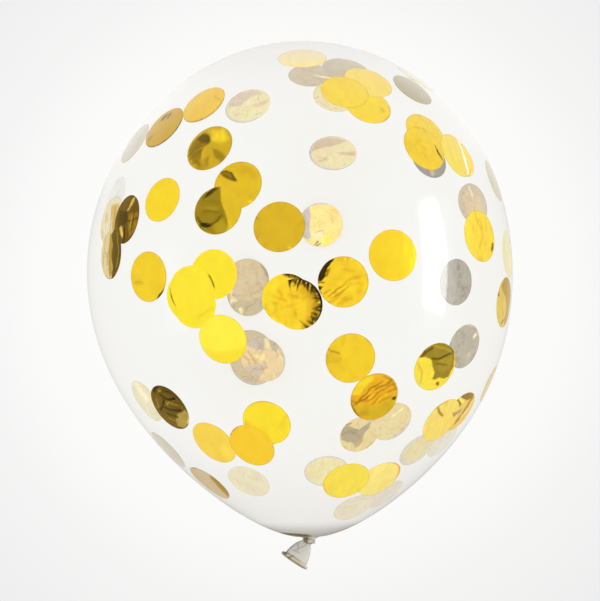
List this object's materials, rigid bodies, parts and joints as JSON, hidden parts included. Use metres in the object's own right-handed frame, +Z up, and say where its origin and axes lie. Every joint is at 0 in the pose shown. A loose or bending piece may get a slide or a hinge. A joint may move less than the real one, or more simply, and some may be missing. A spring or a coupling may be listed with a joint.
{
  "type": "confetti balloon",
  "caption": "Clear round latex party balloon, blown up and knotted, with gold foil confetti circles clinging inside; it lies on its side.",
  "frame": {"origin": "middle of the small flat that the balloon rests on, under its widest ring", "axes": "+Z up, away from the surface it rests on; +Y along the balloon from the neck towards the crown; +X to the right when its crown points away"},
  "size_m": [0.3, 0.3723, 0.2985],
  "materials": {
    "clear_latex": "clear glossy dipped latex, faintly hazy inside",
    "gold_foil": "bright gold metallised film, crinkled"
  },
  "bodies": {
    "root": {"balloon": "clear_latex"}
  },
  "joints": []
}
